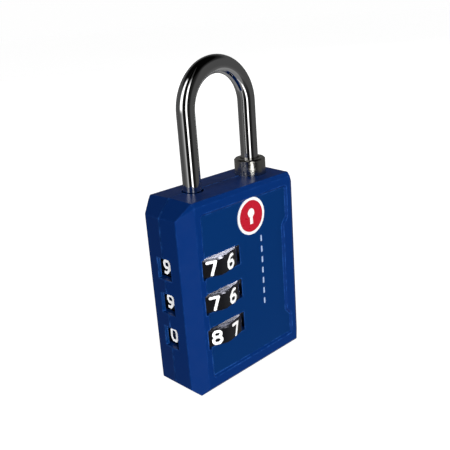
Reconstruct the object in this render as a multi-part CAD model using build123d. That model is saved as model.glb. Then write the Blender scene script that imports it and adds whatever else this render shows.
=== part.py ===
from build123d import *
import os
from math import cos, radians, sin

os.makedirs("parts", exist_ok=True)

# Three-dial luggage padlock with a key override. +Z is up, the dial fronts face -Y,
# the origin is the middle of the bottom face. All sizes in mm.

# ---- body form
WIDTH = 34.0                 # between the two side ridges
HEIGHT = 40.9
DEPTH = 13.5                 # flat front face to flat back face
DRAFT_IN = 0.25              # how far side and top faces lean in from the parting ridge
SIDE_FLAT_Y = 4.45           # half width of the side faces
TOP_FLAT_Y = 6.05            # half width of the top face
SIDE_BEVEL_X = 3.33          # side bevels, measured in from the ridge
TOP_BEVEL_Z = 1.08
TOP_CUT_X, TOP_CUT_Z = 3.1, 3.2          # top corner cuts
BOTTOM_CUT = 2.0                         # bottom corner cuts, 45 degrees
BOTTOM_BEVEL_Y, BOTTOM_BEVEL_Z = 1.3, 1.3
EDGE_ROUND = 0.3
WALL = 1.5
SEAM_WIDTH, SEAM_DEPTH = 0.18, 0.15

# ---- clearances
PRESS_GAP = 0.02             # seated pieces of one body
RUN_GAP = 0.06               # turning or sliding fits, on radius
FREE_GAP = 0.2               # moving pieces that must not touch

# ---- recessed panels, front and back
PANEL_DEPTH = 0.4
PANEL_SLOPE = 0.45           # width of the sloping wall round the panel
PANEL_LEFT, PANEL_RIGHT = -12.4, 12.5
PANEL_LOW, PANEL_HIGH = 3.3, 38.2
PANEL_STEP = 1.4             # the right border is wider by this beside the dials
PANEL_STEP_HALF = 11.3
PANEL_ROUND = 0.8

# ---- dials
DIGITS = 10
DIAL_CORNER_R = 8.15         # ten-sided dial, radius at the corners
DIAL_HEIGHT = 3.8
DIAL_BEVEL = 0.3
DIAL_ROUND = 3.0             # rounding of the corners between the flats
DIAL_PITCH = 7.45
DIAL_TURN = -5.0             # how far the dials stand past their middle position, degrees
MIDDLE_DIAL_Z = 19.65
HEEL_X = -7.9                # dial axis and long shackle leg
TOE_X = 8.75                 # short shackle leg, collar and key cylinder
WINDOW_SIDE_GAP = 0.2        # window edge to dial face, up and down
WINDOW_LEFT, WINDOW_RIGHT = -12.95, -2.35
SIDE_WINDOW_HALF_Y = 2.0
SIDE_WINDOW_RAISE = 0.25       # the side windows reach this much higher than the front ones
NUMERAL_HEIGHT, NUMERAL_WIDTH = 3.15, 2.35
NUMERAL_STROKE = 0.6
NUMERAL_SUNK, NUMERAL_PROUD = 0.25, 0.03

# ---- hubs, one inside each dial
HUB_R = 4.2
HUB_BORE_GAP = 0.27
HUB_TOP_DOWN = 0.1           # hub top below the dial top
SPLINE_R = 0.45
FLANGE_R = 5.0
FLANGE_THICK = 1.0
FLANGE_DROP = 0.4            # dial bottom to flange top
NOTCH_R, NOTCH_DEEP = 0.6, 0.35
SLOT_GAP = 0.5               # hub slot to lug, each side, so a dial may stand a little off its number

# ---- shackle
ROD_D = 3.65
ARCH_Z = 56.0                # centre of the bend
LUG_REACH, LUG_WIDTH = 0.95, 1.2
LUG_GAP = 0.35               # lug to hub, above and below, with the shackle down or up
HEEL_END_DROP = 0.7          # lowest lug to the end of the leg, and leg end to cup rim
TOE_ABOVE = 0.25             # toe end above the top face, so it can swing clear
CLIP_R, CLIP_THICK = 2.9, 0.7
CLIP_GROOVE = 0.38

# ---- locking collar and what drives it
COLLAR_R = 3.3
COLLAR_ABOVE = 3.25
COLLAR_BORE_GAP = 0.2
COLLAR_FLANGE_R, COLLAR_FLANGE = 3.9, 1.1
COLLAR_SINK = 0.1            # below the top face when pulled down
STEM_R = 1.6
FOLLOWER_R, FOLLOWER_HALF = 0.6, 3.95
KEY_TURN = 90.0

# ---- key cylinder
PLUG_R = 3.5
PLUG_TOP_Z = 21.5
PLUG_SUNK = 0.15
HOUSING_R = 5.2
HOUSING_TOP_Z = 21.0
KEYWAY_WIDTH, KEYWAY_LONG, KEYWAY_DEEP = 1.0, 5.0, 15.0
WAFERS = 5
WAFER_X, WAFER_Y, WAFER_THICK, WAFER_STEP = 3.2, 5.6, 0.7, 2.3
DRUM_R, DRUM_BORE_R = 4.2, 2.6
DRUM_FLOOR_Z, DRUM_TOP_Z = 22.4, 30.4
DRUM_FLOOR = 1.2

# ---- small pieces
PIN_R, PIN_HALF = 0.75, 3.5
PINS = [(-13.2, 34.6), (14.4, 33.0), (-12.6, 4.4), (1.0, 4.2)]
BALL_R = 0.5
GUIDE_HALF_X, GUIDE_HALF_Y, GUIDE_THICK = 3.6, 4.6, 1.5
CUP_WALL, CUP_FLOOR = 0.45, 0.5
SEAT_HALF_X, SEAT_HALF_Y, SEAT_TOP_Z, SEAT_THICK = 4.0, 4.8, 31.6, 0.8
LEDGE = 1.2
BLOCK_LEFT, BLOCK_RIGHT = 0.75, 3.3
BADGE_X, BADGE_Z, BADGE_R, BADGE_RIM = 1.5, 34.2, 3.3, 0.6
BADGE_PROUD, BADGE_SUNK = 0.15, 0.25
MARK_X, MARK_LOW, MARK_HIGH, MARKS = 4.2, 14.4, 28.6, 7
MARK_LONG, MARK_WIDE = 1.35, 0.42

# ---- derived
half_w, half_d = WIDTH / 2, DEPTH / 2
inner_d = half_d - WALL
rod_r = ROD_D / 2
dial_flat_r = DIAL_CORNER_R * cos(radians(180 / DIGITS))
dial_zs = [MIDDLE_DIAL_Z + k * DIAL_PITCH for k in (1, 0, -1)]
dial_names = ["top", "middle", "bottom"]
window_h = DIAL_HEIGHT + 2 * WINDOW_SIDE_GAP
hub_low = -DIAL_HEIGHT / 2 - FLANGE_DROP - FLANGE_THICK
hub_high = DIAL_HEIGHT / 2 - HUB_TOP_DOWN
hub_gap = DIAL_PITCH - (hub_high - hub_low)
lug_height = hub_gap - 2 * LUG_GAP
lug_low = hub_low - LUG_GAP - lug_height            # relative to each dial centre
heel_end_z = dial_zs[-1] + lug_low - HEEL_END_DROP
cup_top_z = heel_end_z - HEEL_END_DROP
lug_r = rod_r + LUG_REACH
plate_high = hub_low - FREE_GAP                     # shell shelf under each hub
plate_low = -DIAL_PITCH + DIAL_HEIGHT / 2 + FREE_GAP
ceiling_z = HEIGHT - WALL - DRAFT_IN         # the top wall leans down towards the faces
guide_low_z = ceiling_z - GUIDE_THICK
clip_top_z = guide_low_z - DIAL_PITCH - 0.1
collar_top_z = HEIGHT + COLLAR_ABOVE
collar_travel = COLLAR_ABOVE + COLLAR_SINK
collar_flange_top = ceiling_z - 0.1
seat_low_z = SEAT_TOP_Z - SEAT_THICK
cup_r = rod_r + 0.3 + CUP_WALL
follower_z = DRUM_TOP_Z - 1.9
stem_end_z = follower_z - 1.2
arch_r = (TOE_X - HEEL_X) / 2
arch_x = (TOE_X + HEEL_X) / 2


# ---------------------------------------------------------------- helpers
def rod(radius, low, high, x=0.0, y=0.0):
    """Upright cylinder from low to high."""
    return Pos(x, y, low) * Cylinder(radius, high - low, align=(Align.CENTER, Align.CENTER, Align.MIN))


def tube(outer, inner, low, high, x=0.0, y=0.0):
    return rod(outer, low, high, x, y) - rod(inner, low - 1, high + 1, x, y)


def block(x0, x1, y0, y1, z0, z1):
    return Pos((x0 + x1) / 2, (y0 + y1) / 2, (z0 + z1) / 2) * Box(x1 - x0, y1 - y0, z1 - z0)


def coil(radius, wire, length, turns):
    """Open coil spring standing on z = 0."""
    path = Helix(pitch=(length - wire) / turns, height=length - wire, radius=radius)
    section = Plane(origin=path @ 0, z_dir=path % 0) * Circle(wire / 2)
    return Pos(0, 0, wire / 2) * sweep(section, path=path, is_frenet=True)


def group(solids):
    """Separate solids kept side by side in one node."""
    return Compound(children=[s for item in solids for s in item.solids()])


def save(name, shape):
    solids = shape.solids()
    export_step(solids[0] if len(solids) == 1 else Compound(children=solids), f"parts/{name}.step")


# ---------------------------------------------------------------- body form
def line_meet(n1, c1, n2, c2):
    """Point where two lines n . (x, z) = c cross."""
    det = n1[0] * n2[1] - n1[1] * n2[0]
    return ((c1 * n2[1] - c2 * n1[1]) / det, (n1[0] * c2 - n2[0] * c1) / det)


def left_front_facets():
    """(point, outward normal) of every face of the left front quarter of the body."""
    cut = Vector(-TOP_CUT_Z, 0, TOP_CUT_X).normalized()
    lean_side = DRAFT_IN / SIDE_FLAT_Y
    lean_top = DRAFT_IN / TOP_FLAT_Y
    cut_point = Vector(-half_w, 0, HEIGHT - TOP_CUT_Z)
    cut_c = cut.X * cut_point.X + cut.Z * cut_point.Z
    x1, z1 = line_meet((0, 1), HEIGHT - DRAFT_IN, (cut.X, cut.Z), cut_c - lean_top * TOP_FLAT_Y)
    x2, z2 = line_meet((-1, 0), half_w - DRAFT_IN, (cut.X, cut.Z), cut_c - lean_top * SIDE_FLAT_Y)
    v1, v2 = Vector(x1, -TOP_FLAT_Y, z1), Vector(x2, -SIDE_FLAT_Y, z2)
    v4 = Vector(-half_w + SIDE_BEVEL_X, -half_d, HEIGHT - TOP_BEVEL_Z)
    corner = (v4 - v1).cross(v2 - v1).normalized()
    return [
        ((0, -half_d, 0), (0, -1, 0)),
        ((0, 0, 0), (0, 0, -1)),
        ((0, 0, HEIGHT), (0, -lean_top, 1)),
        ((-half_w, 0, 0), (-1, -lean_side, 0)),
        (cut_point, (cut.X, -lean_top, cut.Z)),
        ((-half_w, 0, BOTTOM_CUT), (-1, 0, -1)),
        ((-half_w + DRAFT_IN, -SIDE_FLAT_Y, 0), (SIDE_FLAT_Y - half_d, DRAFT_IN - SIDE_BEVEL_X, 0)),
        ((0, -TOP_FLAT_Y, HEIGHT - DRAFT_IN), (0, DRAFT_IN - TOP_BEVEL_Z, half_d - TOP_FLAT_Y)),
        ((0, -half_d, BOTTOM_BEVEL_Z), (0, -BOTTOM_BEVEL_Z, -BOTTOM_BEVEL_Y)),
        (v1, corner if corner.Y < 0 else corner * -1),
    ]


def front_half(inset):
    """Front half of the body form, every face moved inward by inset."""
    quarter = block(-half_w - 1, 0, -half_d - 1, 0, -1, HEIGHT + 1)
    for point, normal in left_front_facets():
        direction = Vector(*normal).normalized()
        plane = Plane(origin=Vector(*point) - direction * inset, z_dir=direction)
        quarter = split(quarter, bisect_by=plane, keep=Keep.BOTTOM)
    return quarter + mirror(quarter, about=Plane.YZ)


def panel_outline():
    inner_right = PANEL_RIGHT - PANEL_STEP
    high, low = MIDDLE_DIAL_Z + PANEL_STEP_HALF, MIDDLE_DIAL_Z - PANEL_STEP_HALF
    points = [(PANEL_LEFT, PANEL_LOW), (PANEL_RIGHT, PANEL_LOW), (PANEL_RIGHT, low),
              (inner_right, low + PANEL_STEP), (inner_right, high - PANEL_STEP),
              (PANEL_RIGHT, high), (PANEL_RIGHT, PANEL_HIGH), (PANEL_LEFT, PANEL_HIGH)]
    outline = make_face(Polyline(*points, close=True))
    return fillet(outline.vertices(), PANEL_ROUND)


def panel_recess():
    """Shallow recess with sloping walls, running a little out of the front face."""
    sections = []
    for depth in (-PANEL_DEPTH, PANEL_DEPTH):
        plane = Plane(origin=(0, -half_d + depth, 0), x_dir=(1, 0, 0), z_dir=(0, -1, 0))
        sections.append(plane * offset(panel_outline(), -PANEL_SLOPE * depth / PANEL_DEPTH))
    return loft(sections)


def seam_groove():
    """Shallow groove all round the parting plane."""
    cut = BOTTOM_CUT
    outline = [(-half_w, cut), (-half_w + cut, 0), (half_w - cut, 0), (half_w, cut),
               (half_w, HEIGHT - TOP_CUT_Z), (half_w - TOP_CUT_X, HEIGHT),
               (-half_w + TOP_CUT_X, HEIGHT), (-half_w, HEIGHT - TOP_CUT_Z)]
    face = Plane.XZ * make_face(Polyline(*outline, close=True))
    inner = Plane.XZ * offset(make_face(Polyline(*outline, close=True)), -SEAM_DEPTH)
    wide = Plane.XZ * offset(make_face(Polyline(*outline, close=True)), 1)
    return extrude(wide, SEAM_WIDTH / 2, both=True) - extrude(inner, SEAM_WIDTH, both=True)


def shell_half():
    """Front half shell in ABS; the back half is its mirror image without the badge pockets."""
    outer = front_half(0)
    outer = fillet([e for e in outer.edges() if e.center().Y < -0.5 and abs(e.center().X) > 0.01
                    or e.center().Y < -half_d + 1.5], EDGE_ROUND)
    cavity = front_half(WALL)
    shell = outer - cavity
    # shelves between the dials, posts for the pins, cradles for the key cylinder
    shelves = [(z + plate_low, z + plate_high) for z in dial_zs]
    shelves.append((dial_zs[0] + DIAL_PITCH + plate_low, dial_zs[0] + DIAL_PITCH + plate_high))
    for low, high in shelves:
        shell += cavity & block(-half_w, BLOCK_LEFT - 0.1, -half_d, 0, low, high)
    for low in (4.6, 16.0):
        shell += cavity & block(BLOCK_RIGHT + 0.1, half_w, -half_d, 0, low, low + 1.6)
    for x, z in PINS:
        post = Cylinder(PIN_R + 1.0, half_d, align=(Align.CENTER, Align.CENTER, Align.MIN))
        shell += cavity & (Pos(x, 0, z) * Rot(90, 0, 0) * post)
    # ledges under the heel guide and the collar spring seat, pad round the spring cup
    shell += cavity & block(HEEL_X - GUIDE_HALF_X, HEEL_X + GUIDE_HALF_X, -half_d, -CLIP_R - 0.3,
                            guide_low_z - LEDGE, guide_low_z)
    shell += cavity & block(TOE_X - SEAT_HALF_X, TOE_X + SEAT_HALF_X, -half_d, -DRUM_R - FREE_GAP,
                            seat_low_z - LEDGE, seat_low_z)
    shell += cavity & block(HEEL_X - cup_r - 1, HEEL_X + cup_r + 1, -half_d, 0, WALL - 0.1, cup_top_z - 0.6)
    # room for the heel leg, its lugs and the hubs
    shell -= rod(cup_r + PRESS_GAP, WALL, cup_top_z, HEEL_X)
    shell -= rod(lug_r + 0.4, cup_top_z, guide_low_z, HEEL_X)
    shell -= rod(rod_r + 0.42, 1, HEIGHT + 1, HEEL_X) & block(-half_w, 0, -half_d, 1, HEIGHT - 3, HEIGHT + 2)
    for z in dial_zs:
        shell -= rod(DIAL_CORNER_R + 0.25, z - window_h / 2, z + window_h / 2, HEEL_X)
        shell -= rod(FLANGE_R + 0.25, z + hub_low - 0.2, z, HEEL_X)
        shell -= block(WINDOW_LEFT, WINDOW_RIGHT, -half_d - 1, -inner_d + 0.6,
                       z - window_h / 2, z + window_h / 2)
        shell -= block(-half_w - 1, -half_w + WALL + 1.5, -SIDE_WINDOW_HALF_Y, SIDE_WINDOW_HALF_Y,
                       z - window_h / 2, z + window_h / 2 + SIDE_WINDOW_RAISE)
    # toe side: collar above, key cylinder below
    shell -= rod(COLLAR_R + RUN_GAP + 0.02, HEIGHT - 3, HEIGHT + 1, TOE_X)
    shell -= rod(PLUG_R + 0.15, -1, 4, TOE_X)
    shell -= rod(PLUG_R + 0.9, -1, 0.8, TOE_X)
    shell -= rod(HOUSING_R + PRESS_GAP, WALL, HOUSING_TOP_Z, TOE_X)
    for x, z in PINS:
        shell -= Pos(x, 0, z) * Rot(90, 0, 0) * Cylinder(PIN_R + PRESS_GAP, 2 * PIN_HALF + 0.4)
    shell -= panel_recess()
    return shell - seam_groove()


def front_disc(radius, front_y, back_y, x=BADGE_X, z=BADGE_Z):
    return Pos(x, (front_y + back_y) / 2, z) * Rot(90, 0, 0) * Cylinder(radius, back_y - front_y)


panel_y = -half_d + PANEL_DEPTH
badge_front, badge_back = panel_y - BADGE_PROUD, panel_y + BADGE_SUNK

rim = front_disc(BADGE_R + BADGE_RIM, badge_front, badge_back)
rim -= front_disc(BADGE_R, badge_front - 1, badge_back + 1)
symbol = front_disc(0.95, badge_front, badge_back - 0.15, z=BADGE_Z + 0.65)
symbol += block(BADGE_X - 0.42, BADGE_X + 0.42, badge_front, badge_back - 0.15, BADGE_Z - 1.7, BADGE_Z + 0.6)
disc = front_disc(BADGE_R, badge_front, badge_back) - symbol

marks = []
for k in range(MARKS):
    z = MARK_LOW + (MARK_HIGH - MARK_LOW) * k / (MARKS - 1)
    face = Plane(origin=(MARK_X, panel_y + 0.15, z), x_dir=(0, 0, 1), z_dir=(0, -1, 0))
    marks.append(extrude(face * SlotOverall(MARK_LONG, MARK_WIDE), 0.17))

half_shell = shell_half()
front_shell = half_shell - front_disc(BADGE_R + BADGE_RIM, badge_front - 1, badge_back)
for mark in marks:
    front_shell -= mark
back_shell = mirror(half_shell, about=Plane.XZ)
save("front_shell", front_shell)
save("back_shell", back_shell)
save("badge_rim", rim)
save("badge_disc", disc)
save("badge_symbol", symbol)
save("front_marks", group(marks))
save("shell_pins", group([Pos(x, 0, z) * Rot(90, 0, 0) * Cylinder(PIN_R, 2 * PIN_HALF) for x, z in PINS]))

# ---------------------------------------------------------------- shackle
path = Line((HEEL_X, 0, heel_end_z), (HEEL_X, 0, ARCH_Z))
path += ThreePointArc((HEEL_X, 0, ARCH_Z), (arch_x, 0, ARCH_Z + arch_r), (TOE_X, 0, ARCH_Z))
path += Line((TOE_X, 0, ARCH_Z), (TOE_X, 0, HEIGHT + TOE_ABOVE))
shackle = sweep(Plane(origin=(HEEL_X, 0, heel_end_z), z_dir=(0, 0, 1)) * Circle(rod_r), path=path)
ends = [e for e in shackle.edges()
        if e.geom_type == GeomType.CIRCLE and abs(e.length - 3.14159 * ROD_D) < 0.01
        and (abs(e.center().Z - heel_end_z) < 0.01 or abs(e.center().Z - HEIGHT - TOE_ABOVE) < 0.01)]
shackle = chamfer(ends, 0.35)
for z in dial_zs:
    low = z + lug_low
    lug = block(HEEL_X, HEEL_X + lug_r, -LUG_WIDTH / 2, LUG_WIDTH / 2, low, low + lug_height)
    shackle += lug & rod(lug_r, low, low + lug_height, HEEL_X)
shackle -= tube(rod_r + 1, rod_r - CLIP_GROOVE, clip_top_z - CLIP_THICK, clip_top_z, HEEL_X)
save("shackle", shackle)

clip = tube(CLIP_R, rod_r - CLIP_GROOVE + PRESS_GAP, clip_top_z - CLIP_THICK + PRESS_GAP,
            clip_top_z - PRESS_GAP, HEEL_X)
clip -= block(HEEL_X - CLIP_R - 1, HEEL_X, -0.9, 0.9, clip_top_z - 2, clip_top_z + 1)
save("shackle_clip", clip)

cup_low_z = WALL + 0.05
heel_spring_low = cup_low_z + CUP_FLOOR
cup = rod(cup_r, cup_low_z, cup_top_z, HEEL_X) - rod(cup_r - CUP_WALL, heel_spring_low, cup_top_z + 1, HEEL_X)
save("spring_cup", cup)
save("heel_spring", Pos(HEEL_X, 0, heel_spring_low) * coil(1.35, 0.35, heel_end_z - heel_spring_low, 4.5))

guide = block(HEEL_X - GUIDE_HALF_X, HEEL_X + GUIDE_HALF_X, -GUIDE_HALF_Y, GUIDE_HALF_Y,
              guide_low_z + PRESS_GAP, ceiling_z)
save("heel_guide", guide - rod(rod_r + RUN_GAP, 0, 50, HEEL_X))

# ---------------------------------------------------------------- dials
ROUND_TOP = [(-0.55, 1), (0.55, 1), (1, 0.6)]
STROKES = {
    0: [[(-1, 0.6), *ROUND_TOP, (1, -0.6), (0.55, -1), (-0.55, -1), (-1, -0.6), (-1, 0.6)]],
    1: [[(-0.5, 0.55), (0.15, 1), (0.15, -1)]],
    2: [[(-1, 0.6), *ROUND_TOP, (1, 0.25), (-1, -1), (1, -1)]],
    3: [[(-0.9, 1), (0.9, 1), (0.05, 0.15), (0.55, 0.15), (1, -0.2), (1, -0.6), (0.5, -1), (-0.5, -1),
         (-1, -0.65)]],
    4: [[(0.45, -1), (0.45, 1), (-1, -0.4), (1, -0.4)]],
    5: [[(0.9, 1), (-0.8, 1), (-0.9, 0.15), (0.5, 0.15), (1, -0.2), (1, -0.6), (0.5, -1), (-0.5, -1),
         (-1, -0.65)]],
    6: [[(0.85, 1), (0.1, 1), (-1, 0.2), (-1, -0.6), (-0.55, -1), (0.55, -1), (1, -0.6), (1, -0.25), (0.6, 0.1),
         (-0.9, 0.1)]],
    7: [[(-1, 1), (1, 1), (0, -1)]],
    8: [[(-0.5, 1), (0.5, 1), (0.9, 0.7), (0.9, 0.4), (0.5, 0.08), (-0.5, 0.08), (-0.9, 0.4), (-0.9, 0.7),
         (-0.5, 1)],
        [(-0.5, 0.08), (0.5, 0.08), (1, -0.3), (1, -0.65), (0.5, -1), (-0.5, -1), (-1, -0.65), (-1, -0.3),
         (-0.5, 0.08)]],
}
STROKES[9] = [[(-x, -y) for x, y in line] for line in STROKES[6]]


def numeral(value):
    """Numeral drawn with one round-ended stroke width, centred on the origin."""
    sx, sy = (NUMERAL_WIDTH - NUMERAL_STROKE) / 2, (NUMERAL_HEIGHT - NUMERAL_STROKE) / 2
    sketch = Sketch()
    for line in STROKES[value]:
        points = [Vector(x * sx, y * sy) for x, y in line]
        for a, b in zip(points, points[1:]):
            middle, angle = (a + b) * 0.5, (b - a).get_angle(Vector(1, 0)) * (1 if b.Y >= a.Y else -1)
            stroke = SlotCenterToCenter((b - a).length, NUMERAL_STROKE)
            sketch += Pos(middle.X, middle.Y) * Rot(0, 0, angle) * stroke
    return sketch


numerals = [numeral(value) for value in range(DIGITS)]


def dial_and_numerals(first_angle):
    """Dial ring centred on the origin, with numeral n at first_angle - 36 n degrees."""
    step = 360 / DIGITS
    ring = extrude(RegularPolygon(DIAL_CORNER_R, DIGITS, rotation=step / 2), DIAL_HEIGHT / 2, both=True)
    ring = fillet(ring.edges().filter_by(Axis.Z), DIAL_ROUND)
    ring = chamfer([e for e in ring.edges() if abs(abs(e.center().Z) - DIAL_HEIGHT / 2) < 0.001], DIAL_BEVEL)
    ring -= rod(HUB_R + PRESS_GAP, -5, 5)
    for k in range(DIGITS):
        ring -= Rot(0, 0, (k + 0.5) * step) * rod(SPLINE_R + PRESS_GAP, -5, 5, HUB_R)
    inked = []
    for value in range(DIGITS):
        angle = radians(first_angle - step * value)
        out = Vector(cos(angle), sin(angle), 0)
        face = Plane(origin=out * (dial_flat_r - NUMERAL_SUNK), x_dir=Vector(0, 0, 1).cross(out), z_dir=out)
        inked.append(extrude(face * numerals[value], NUMERAL_SUNK + NUMERAL_PROUD))
    for solid in inked:
        ring -= solid
    return ring, group(inked)


def hub():
    """Clutch sleeve centred on the dial: splines, notched flange and the lug slot."""
    body = rod(HUB_R, hub_low, hub_high)
    for k in range(DIGITS):
        body += Rot(0, 0, (k + 0.5) * 360 / DIGITS) * rod(SPLINE_R, -DIAL_HEIGHT / 2, hub_high, HUB_R)
    body += rod(FLANGE_R, hub_low, hub_low + FLANGE_THICK)
    for k in range(DIGITS):
        body -= Rot(0, 0, k * 360 / DIGITS) * rod(NOTCH_R, hub_low - 1, hub_low + FLANGE_THICK + 0.1,
                                                  FLANGE_R + NOTCH_R - NOTCH_DEEP)
    body -= rod(rod_r + HUB_BORE_GAP, -10, 10)
    slot = LUG_WIDTH / 2 + SLOT_GAP
    return body - block(0, lug_r + 0.3, -slot, slot, -10, 10)


plain_hub = hub()
for name, z, first_angle in zip(dial_names, dial_zs, (144, 144, 180)):
    ring, inked = dial_and_numerals(first_angle)
    place = Pos(HEEL_X, 0, z) * Rot(0, 0, DIAL_TURN)
    save(f"dial_{name}", place * ring)
    save(f"numerals_{name}", group([place * solid for solid in inked.solids()]))
    save(f"hub_{name}", place * plain_hub)

# ---------------------------------------------------------------- detents
block_low, block_high = dial_zs[-1] + hub_low - 1.0, dial_zs[0] + DIAL_HEIGHT / 2 + 1.0
nose_left = HEEL_X + FLANGE_R + 0.2
ball_x = HEEL_X + FLANGE_R + 0.05 + BALL_R
detent = block(BLOCK_LEFT, BLOCK_RIGHT, -4.8, 4.8, block_low, block_high)
balls, springs = [], []
for z in dial_zs:
    centre = z + hub_low + FLANGE_THICK / 2
    detent += block(nose_left, BLOCK_LEFT + 0.1, -1.1, 1.1, z + plate_high + 0.05, z - DIAL_HEIGHT / 2 - 0.15)
    detent -= Pos(0, 0, centre) * Rot(0, 90, 0) * Cylinder(BALL_R + RUN_GAP, 2 * (0.1 - nose_left))
    balls.append(Pos(ball_x, 0, centre) * Sphere(BALL_R))
    springs.append(Pos(ball_x + BALL_R + 0.02, 0, centre) * Rot(0, 90, 0) * coil(0.34, 0.13, 1.9, 5))
save("detent_block", detent)
save("detent_balls", group(balls))
save("detent_springs", group(springs))

# ---------------------------------------------------------------- collar, moved by the key
collar = rod(COLLAR_R, collar_flange_top - 0.1, collar_top_z, TOE_X)
collar = chamfer(collar.edges().group_by(Axis.Z)[-1], 0.3)
collar += rod(COLLAR_FLANGE_R, collar_flange_top - COLLAR_FLANGE, collar_flange_top, TOE_X)
collar += rod(STEM_R, stem_end_z, collar_flange_top, TOE_X)
collar -= rod(rod_r + COLLAR_BORE_GAP, HEIGHT - COLLAR_SINK, collar_top_z + 1, TOE_X)
follower = Pos(TOE_X, 0, follower_z) * Rot(90, 0, 0) * Cylinder(FOLLOWER_R, 2 * FOLLOWER_HALF)
collar -= Pos(TOE_X, 0, follower_z) * Rot(90, 0, 0) * Cylinder(FOLLOWER_R + PRESS_GAP, 10)
save("locking_collar", collar)
save("follower_pin", follower)

seat = block(TOE_X - SEAT_HALF_X, TOE_X + SEAT_HALF_X, -SEAT_HALF_Y, SEAT_HALF_Y,
             seat_low_z + PRESS_GAP, SEAT_TOP_Z)
save("spring_seat", seat - rod(STEM_R + 0.15, 0, 50, TOE_X))
collar_spring_high = collar_flange_top - COLLAR_FLANGE
save("collar_spring", Pos(TOE_X, 0, SEAT_TOP_Z) * coil(2.5, 0.45, collar_spring_high - SEAT_TOP_Z, 4.5))

# ---------------------------------------------------------------- key cylinder
housing = tube(HOUSING_R, PLUG_R + RUN_GAP, WALL + 0.05, HOUSING_TOP_Z, TOE_X)
save("plug_housing", housing)

plug = rod(PLUG_R, PLUG_SUNK, PLUG_TOP_Z, TOE_X)
plug = chamfer(plug.edges().group_by(Axis.Z)[0], 0.2)
plug += rod(1.6, PLUG_TOP_Z, DRUM_FLOOR_Z + DRUM_FLOOR, TOE_X)
plug -= block(TOE_X - KEYWAY_WIDTH / 2, TOE_X + KEYWAY_WIDTH / 2, -KEYWAY_LONG / 2, KEYWAY_LONG / 2,
              -1, KEYWAY_DEEP)
plug -= block(TOE_X, TOE_X + KEYWAY_WIDTH, -0.4, 0.6, -1, KEYWAY_DEEP)
wafers, wafer_springs = [], []
for k in range(WAFERS):
    z = 3.4 + k * WAFER_STEP
    plug -= block(TOE_X - WAFER_X / 2 - 0.05, TOE_X + WAFER_X / 2 + 0.05,
                  -WAFER_Y / 2 - 0.05, WAFER_Y / 2 + 0.05,
                  z, z + WAFER_THICK + 0.1)
    wafer = block(TOE_X - WAFER_X / 2, TOE_X + WAFER_X / 2, -WAFER_Y / 2, WAFER_Y / 2,
                  z + 0.05, z + 0.05 + WAFER_THICK)
    wafer -= block(TOE_X - KEYWAY_WIDTH / 2, TOE_X + KEYWAY_WIDTH / 2, -1.6, 1.6 - 0.3 * (k % 3), 0, 30)
    spring_x = TOE_X + WAFER_X / 2 + 0.05
    plug -= Pos(spring_x + 0.5, 0, z + 0.4) * Rot(90, 0, 0) * Cylinder(0.42, 2.2)
    wafer_springs.append(Pos(spring_x + 0.5, 0.95, z + 0.4) * Rot(90, 0, 0) * coil(0.26, 0.11, 1.9, 6))
    wafers.append(wafer)
plug -= tube(PLUG_R + 1, PLUG_R - 0.4, HOUSING_TOP_Z + 0.02, HOUSING_TOP_Z + 0.42, TOE_X)
save("key_plug", plug)
save("wafers", group(wafers))
save("wafer_springs", group(wafer_springs))

ring_low = HOUSING_TOP_Z + 0.04
plug_clip = tube(PLUG_R + 0.9, PLUG_R - 0.4 + PRESS_GAP, ring_low, ring_low + 0.36, TOE_X)
save("plug_clip", plug_clip - block(TOE_X, TOE_X + 6, -1.2, 1.2, 20, 23))

drum = rod(DRUM_R, DRUM_FLOOR_Z, DRUM_TOP_Z, TOE_X) - rod(DRUM_BORE_R, DRUM_FLOOR_Z + DRUM_FLOOR, 40, TOE_X)
drum -= rod(1.6 + PRESS_GAP, 0, 40, TOE_X)
slot_steps = 16
for k in range(slot_steps + 1):
    share = k / slot_steps
    # the follower sinks along the slot as the plug turns forward
    drum -= (Pos(TOE_X, 0, follower_z - collar_travel * share) * Rot(0, 0, -KEY_TURN * share)
             * Rot(90, 0, 0) * Cylinder(FOLLOWER_R + 0.12, 12))
save("cam_drum", drum)

escutcheon = tube(PLUG_R + 0.88, PLUG_R + 0.17, 0.02, 0.78, TOE_X)
save("key_escutcheon", escutcheon)
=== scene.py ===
import math

import bpy
from mathutils import Matrix, Vector


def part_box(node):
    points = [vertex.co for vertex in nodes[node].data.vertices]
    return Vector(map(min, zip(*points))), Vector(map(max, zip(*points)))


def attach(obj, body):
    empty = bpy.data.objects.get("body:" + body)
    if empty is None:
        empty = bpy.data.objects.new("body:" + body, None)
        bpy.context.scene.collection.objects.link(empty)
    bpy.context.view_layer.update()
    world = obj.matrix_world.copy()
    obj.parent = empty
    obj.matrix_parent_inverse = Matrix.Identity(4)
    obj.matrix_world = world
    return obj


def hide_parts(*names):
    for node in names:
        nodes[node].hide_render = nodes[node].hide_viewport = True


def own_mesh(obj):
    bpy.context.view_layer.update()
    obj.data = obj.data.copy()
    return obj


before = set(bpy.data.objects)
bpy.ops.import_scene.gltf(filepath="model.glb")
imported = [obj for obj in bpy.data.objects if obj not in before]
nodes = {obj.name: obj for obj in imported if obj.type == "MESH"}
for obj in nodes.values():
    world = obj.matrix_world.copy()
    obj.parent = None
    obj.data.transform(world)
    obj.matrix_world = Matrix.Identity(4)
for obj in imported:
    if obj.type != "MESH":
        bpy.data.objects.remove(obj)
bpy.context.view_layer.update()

scene = bpy.context.scene
MM = 0.001


# ---------------------------------------------------------------- node helpers
def feed(tree, socket, value):
    """Links another node's output to the socket, or sets a plain number or an RGB colour on it."""
    if isinstance(value, bpy.types.NodeSocket):
        tree.links.new(value, socket)
    elif isinstance(value, tuple):
        socket.default_value = (*value, 1)
    else:
        socket.default_value = value


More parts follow.
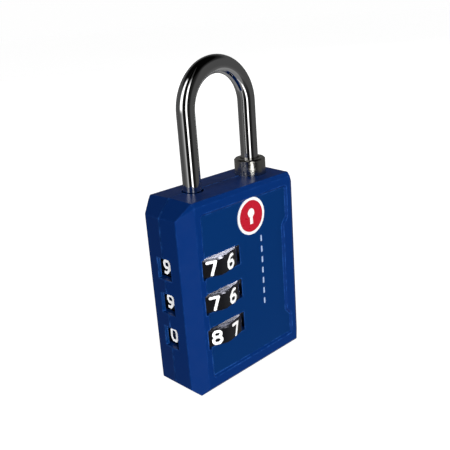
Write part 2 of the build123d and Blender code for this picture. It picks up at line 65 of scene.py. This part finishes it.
def noise(tree, scale, detail=3.0):
    coord = tree.nodes.new("ShaderNodeTexCoord")
    node = tree.nodes.new("ShaderNodeTexNoise")
    node.inputs["Scale"].default_value = scale
    node.inputs["Detail"].default_value = detail
    node.inputs["Roughness"].default_value = 0.55
    tree.links.new(coord.outputs["Object"], node.inputs["Vector"])
    return node.outputs["Fac"]


def remap(tree, value, low, high, out_low, out_high):
    node = tree.nodes.new("ShaderNodeMapRange")
    for socket, number in zip(("From Min", "From Max", "To Min", "To Max"), (low, high, out_low, out_high)):
        node.inputs[socket].default_value = number
    tree.links.new(value, node.inputs["Value"])
    return node.outputs["Result"]


def mix(tree, fac, a, b, kind="RGBA"):
    node = tree.nodes.new("ShaderNodeMix")
    node.data_type = kind
    feed(tree, node.inputs["Factor"], fac)
    feed(tree, node.inputs["A"], a)
    feed(tree, node.inputs["B"], b)
    return node.outputs["Result"]


def maths(tree, operation, *values):
    node = tree.nodes.new("ShaderNodeMath")
    node.operation = operation
    for socket, value in zip(node.inputs, values):
        feed(tree, socket, value)
    return node.outputs["Value"]


def split_xyz(tree, vector):
    node = tree.nodes.new("ShaderNodeSeparateXYZ")
    tree.links.new(vector, node.inputs["Vector"])
    return node.outputs


def ramp(tree, value, stops):
    """Smooth float ramp through (position, level) stops."""
    node = tree.nodes.new("ShaderNodeValToRGB")
    node.color_ramp.interpolation = "EASE"
    points = node.color_ramp.elements
    while len(points) < len(stops):
        points.new(1.0)
    for point, (place, level) in zip(points, stops):
        point.position = place
        point.color = (level, level, level, 1)
    tree.links.new(value, node.inputs["Fac"])
    return node.outputs["Color"]


def bump(tree, shader, height, strength, distance):
    node = tree.nodes.new("ShaderNodeBump")
    node.inputs["Strength"].default_value = strength
    node.inputs["Distance"].default_value = distance
    tree.links.new(height, node.inputs["Height"])
    tree.links.new(node.outputs["Normal"], shader.inputs["Normal"])


# ---------------------------------------------------------------- materials
def new_material(name):
    mat = bpy.data.materials.new(name)
    mat.use_nodes = True
    tree = mat.node_tree
    tree.nodes.clear()
    out = tree.nodes.new("ShaderNodeOutputMaterial")
    shader = tree.nodes.new("ShaderNodeBsdfPrincipled")
    tree.links.new(shader.outputs["BSDF"], out.inputs["Surface"])
    return mat, tree, shader


def plastic(name, dark, light, rough, grain=0.02, specular=0.3):
    mat, tree, shader = new_material(name)
    tree.links.new(mix(tree, noise(tree, 90, 4), dark, light), shader.inputs["Base Color"])
    satin = remap(tree, noise(tree, 900, 2), 0.3, 0.7, rough - 0.04, rough + 0.06)
    tree.links.new(satin, shader.inputs["Roughness"])
    shader.inputs["Specular IOR Level"].default_value = specular
    bump(tree, shader, noise(tree, 3500, 2), grain, 0.05 * MM)
    return mat


def metal(name, dark, light, rough, spread=0.06, grain=0.0):
    mat, tree, shader = new_material(name)
    shader.inputs["Metallic"].default_value = 1.0
    tree.links.new(mix(tree, noise(tree, 260, 4), dark, light), shader.inputs["Base Color"])
    polish = remap(tree, noise(tree, 700, 3), 0.3, 0.7, rough, rough + spread)
    tree.links.new(polish, shader.inputs["Roughness"])
    if grain:
        bump(tree, shader, noise(tree, 1400, 3), grain, 0.08 * MM)
    return mat


FRAME_DARK, FRAME_LIGHT = (0.0012, 0.0225, 0.132), (0.0018, 0.0260, 0.148)
PANEL_DARK, PANEL_LIGHT = (0.0012, 0.024, 0.114), (0.0016, 0.027, 0.126)
# painted highlight: the paler blue painted along the moulding's edges
EDGE_HIGHLIGHT_COLOUR = (0.03, 0.13, 0.48)
EDGE_RADIUS = 0.4 * MM
BADGE_PROUD = 0.15 * MM          # the badge disc stands out of the panel by this much


def panel_mask(tree):
    """1 on the flat of the sunk front and back panels, 0 elsewhere."""
    coord = tree.nodes.new("ShaderNodeTexCoord")
    face = tree.nodes.new("ShaderNodeNewGeometry")
    depth = maths(tree, "ABSOLUTE", split_xyz(tree, coord.outputs["Object"])["Y"])
    facing = maths(tree, "ABSOLUTE", split_xyz(tree, face.outputs["Normal"])["Y"])
    panel_y = abs(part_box("badge_disc")[0][1] + BADGE_PROUD)
    sunk = remap(tree, depth, panel_y + 0.03 * MM, panel_y + 0.12 * MM, 1, 0)
    flat = remap(tree, facing, 0.9, 0.98, 0, 1)
    return maths(tree, "MULTIPLY", sunk, flat)


def edge_highlight_paint(tree):
    """Painted highlight: how much paler a spot is painted along the edges of the moulding, broken up by
    noise.
    """
    face = tree.nodes.new("ShaderNodeNewGeometry")
    rounded = tree.nodes.new("ShaderNodeBevel")
    rounded.samples = 6
    rounded.inputs["Radius"].default_value = EDGE_RADIUS
    agree = tree.nodes.new("ShaderNodeVectorMath")
    agree.operation = "DOT_PRODUCT"
    tree.links.new(rounded.outputs["Normal"], agree.inputs[0])
    tree.links.new(face.outputs["Normal"], agree.inputs[1])
    edge = remap(tree, agree.outputs["Value"], 0.995, 0.96, 0, 1)
    broken = remap(tree, noise(tree, 700, 3), 0.45, 0.62, 0.05, 0.55)
    return maths(tree, "MULTIPLY", edge, broken)


def body_blue():
    """Moulded ABS: the sunk front and back panels are a shade deeper than the frame round them."""
    mat, tree, shader = new_material("blue_abs")
    cloud = noise(tree, 60, 5)
    frame_colour = mix(tree, cloud, FRAME_DARK, FRAME_LIGHT)
    panel_colour = mix(tree, cloud, PANEL_DARK, PANEL_LIGHT)
    colour = mix(tree, panel_mask(tree), frame_colour, panel_colour)
    # the moulding's edges are painted paler here, as a painted highlight
    tree.links.new(mix(tree, edge_highlight_paint(tree), colour, EDGE_HIGHLIGHT_COLOUR), shader.inputs["Base Color"])
    tree.links.new(remap(tree, noise(tree, 500, 3), 0.3, 0.7, 0.28, 0.38), shader.inputs["Roughness"])
    shader.inputs["Specular IOR Level"].default_value = 0.14
    shader.inputs["Specular Tint"].default_value = (0.45, 0.58, 1.0, 1)
    bump(tree, shader, noise(tree, 2600, 3), 0.05, 0.05 * MM)
    return mat


blue = body_blue()
black = plastic("dial_black", (0.004, 0.004, 0.005), (0.008, 0.008, 0.009), 0.17, specular=0.5)
white = plastic("numeral_white", (0.80, 0.80, 0.80), (0.90, 0.90, 0.90), 0.45)
red = plastic("badge_red", (0.42, 0.008, 0.02), (0.50, 0.012, 0.03), 0.3)
pale = plastic("mark_print", (0.32, 0.42, 0.62), (0.42, 0.52, 0.72), 0.5)
chrome = metal("chrome", (0.66, 0.66, 0.66), (0.74, 0.74, 0.74), 0.02, 0.02)
nickel = metal("nickel", (0.34, 0.34, 0.31), (0.84, 0.81, 0.74), 0.15, 0.12, 0.8)
brass = metal("brass", (0.55, 0.38, 0.14), (0.62, 0.44, 0.18), 0.3)
steel = metal("steel", (0.42, 0.43, 0.45), (0.5, 0.51, 0.53), 0.3)

PLACES = ("top", "middle", "bottom")
LOOKS = {                        # nodes that are not in it are steel
    "front_shell": blue, "back_shell": blue,
    "badge_disc": red, "badge_rim": white, "badge_symbol": white, "front_marks": pale,
    "shackle": chrome, "locking_collar": nickel, "key_plug": nickel, "key_escutcheon": nickel,
    "spring_cup": brass, "wafers": brass,
}
for place in PLACES:
    LOOKS[f"dial_{place}"] = black
    LOOKS[f"numerals_{place}"] = white
    LOOKS[f"hub_{place}"] = brass
for name, obj in nodes.items():
    obj.data.materials.clear()
    obj.data.materials.append(LOOKS.get(name, steel))


# ---------------------------------------------------------------- collar spring
def shortening_spring():
    """The collar spring again, as a piece of its own on the case, standing in for the imported spring, which
    is hidden.
    """
    spring = bpy.data.objects.new("collar_spring_coil", nodes["collar_spring"].data.copy())
    scene.collection.objects.link(spring)
    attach(spring, "case")
    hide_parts("collar_spring")
    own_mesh(spring)


shortening_spring()

# ---------------------------------------------------------------- camera
CAM_POS = Vector((-87.674, -92.790, 74.361)) * MM
CAM_AIM = Vector((0.171, 0.0, 31.415)) * MM
CAM_ROLL = -4.27                 # degrees
CAM_SENSOR = 36.0                # mm
CAM_LENS = 51.536                # mm


def add_camera():
    data = bpy.data.cameras.new("camera")
    data.sensor_width = CAM_SENSOR
    data.lens = CAM_LENS
    data.clip_start = 5 * MM
    camera = bpy.data.objects.new("camera", data)
    scene.collection.objects.link(camera)
    forward = (CAM_AIM - CAM_POS).normalized()
    right = forward.cross(Vector((0, 0, 1))).normalized()
    up = right.cross(forward)
    cos, sin = math.cos(math.radians(CAM_ROLL)), math.sin(math.radians(CAM_ROLL))
    right, up = right * cos + up * sin, up * cos - right * sin
    turn = Matrix((right, up, -forward)).transposed()
    camera.matrix_world = Matrix.Translation(CAM_POS) @ turn.to_4x4()
    scene.camera = camera


add_camera()


# ---------------------------------------------------------------- floor and studio room
def add_floor():
    """Pale floor, which fills the picture's backdrop but neither lights the padlock nor shows in it."""
    bpy.ops.mesh.primitive_plane_add(size=6.0, location=(0, 0, 0))
    floor = bpy.context.object
    floor.name = "floor"
    mat, tree, shader = new_material("floor_white")
    grey = mix(tree, noise(tree, 3, 2), (0.30, 0.30, 0.30), (0.32, 0.32, 0.32))
    tree.links.new(grey, shader.inputs["Base Color"])
    shader.inputs["Roughness"].default_value = 0.9
    shader.inputs["Specular IOR Level"].default_value = 0.0
    shader.inputs["Emission Color"].default_value = (1, 1, 1, 1)
    shader.inputs["Emission Strength"].default_value = 0.93
    floor.data.materials.append(mat)
    floor.visible_glossy = False
    floor.visible_diffuse = False


# what polished metal sees: (bearing, level), 0 in front of the padlock, and (height, level), in degrees
BEARINGS = [(-180, 0.13), (-128, 0.11), (-104, 0.20), (-80, 0.80), (-74, 0.01), (-41, 0.01), (-37, 3.3),
            (-26, 3.3), (-21, 0.01), (4, 0.02), (26, 0.11), (120, 0.11), (150, 0.13), (180, 0.14)]
HEIGHTS = [(-90, 0.14), (-55, 0.18), (-38, 1.0), (30, 1.0), (45, 0.22), (53, 0.02), (90, 0.01)]
WINDOW_BEARINGS = [(-180, 0), (-112, 0), (-106, 2.2), (-84, 2.2), (-78, 0), (180, 0)]
WINDOW_HEIGHTS = [(-90, 0), (-4, 0), (4, 1), (52, 1), (62, 0), (90, 0)]
GROUND = [(-90, 0.34), (-42, 0.30), (-36, 0.05), (-15, 0), (90, 0)]
DIFFUSE_LEVEL = 0.13
BACKDROP_LEVEL = 1.24


def add_room():
    world = bpy.data.worlds.new("world")
    scene.world = world
    world.use_nodes = True
    tree = world.node_tree
    tree.nodes.clear()
    coord = tree.nodes.new("ShaderNodeTexCoord")
    ray = split_xyz(tree, coord.outputs["Generated"])
    turn = maths(tree, "ARCTAN2", ray["X"], maths(tree, "MULTIPLY", ray["Y"], -1.0))
    bearing = maths(tree, "ADD", maths(tree, "DIVIDE", turn, 2 * math.pi), 0.5)
    rise = maths(tree, "ADD", maths(tree, "DIVIDE", maths(tree, "ARCSINE", ray["Z"]), math.pi), 0.5)

    def by_bearing(stops):
        return ramp(tree, bearing, [((angle + 180) / 360, level) for angle, level in stops])

    def by_height(stops):
        return ramp(tree, rise, [((angle + 90) / 180, level) for angle, level in stops])

    walls = maths(tree, "MULTIPLY", by_bearing(BEARINGS), by_height(HEIGHTS))
    window = maths(tree, "MULTIPLY", by_bearing(WINDOW_BEARINGS), by_height(WINDOW_HEIGHTS))
    room = maths(tree, "ADD", maths(tree, "ADD", walls, window), by_height(GROUND))
    rays = tree.nodes.new("ShaderNodeLightPath").outputs
    level = mix(tree, rays["Is Diffuse Ray"], room, DIFFUSE_LEVEL, "FLOAT")
    level = mix(tree, rays["Is Camera Ray"], level, BACKDROP_LEVEL, "FLOAT")
    background = tree.nodes.new("ShaderNodeBackground")
    background.inputs["Color"].default_value = (0.8, 0.8, 0.8, 1)
    tree.links.new(level, background.inputs["Strength"])
    out = tree.nodes.new("ShaderNodeOutputWorld")
    tree.links.new(background.outputs["Background"], out.inputs["Surface"])


add_floor()
add_room()
scene.view_settings.view_transform = "Standard"

# ---------------------------------------------------------------- lights
LIGHT_AIM = Vector((0, 0, 0.03))


def area_light(name, bearing_deg, rise_deg, distance, size, watts):
    """Soft disc light aimed at the middle of the padlock."""
    data = bpy.data.lights.new(name, "AREA")
    data.shape = "DISK"
    data.size = size
    data.energy = watts
    obj = bpy.data.objects.new(name, data)
    scene.collection.objects.link(obj)
    a, e = math.radians(bearing_deg), math.radians(rise_deg)
    away = Vector((math.sin(a) * math.cos(e), -math.cos(a) * math.cos(e), math.sin(e)))
    obj.location = LIGHT_AIM + away * distance
    obj.rotation_euler = (-away).to_track_quat("-Z", "Y").to_euler()
    return obj


def dial_nodes(kind):
    """The three dials' nodes of one kind, as a collection that a light can be limited to."""
    lit = bpy.data.collections.new(f"{kind}_lit")
    for place in PLACES:
        lit.objects.link(nodes[f"{kind}_{place}"])
    return lit


def limit_to(light, lit):
    light.light_linking.receiver_collection = lit
    light.light_linking.blocker_collection = lit


for name, bearing, rise, watts in (("key", -24, 7, 8), ("back_fill", 160, 10, 5), ("right_fill", 80, 10, 3)):
    area_light(name, bearing, rise, 0.8, 0.35, watts).visible_glossy = False

# a lift for the numerals, and a sheen that only the dials catch, on their flat tops and top bevels
limit_to(area_light("numeral_lift", -75, 15, 0.5, 0.25, 1.8), dial_nodes("numerals"))
dials = dial_nodes("dial")
for name, bearing, rise, watts in (("dial_sheen_low", 137, 20, 11.0), ("dial_sheen_high", 50, 62, 6.0)):
    sheen = area_light(name, bearing, rise, 0.5, 0.25, watts)
    sheen.data.diffuse_factor = 0.0
    sheen.data.color = (0.86, 0.86, 1.0)
    limit_to(sheen, dials)
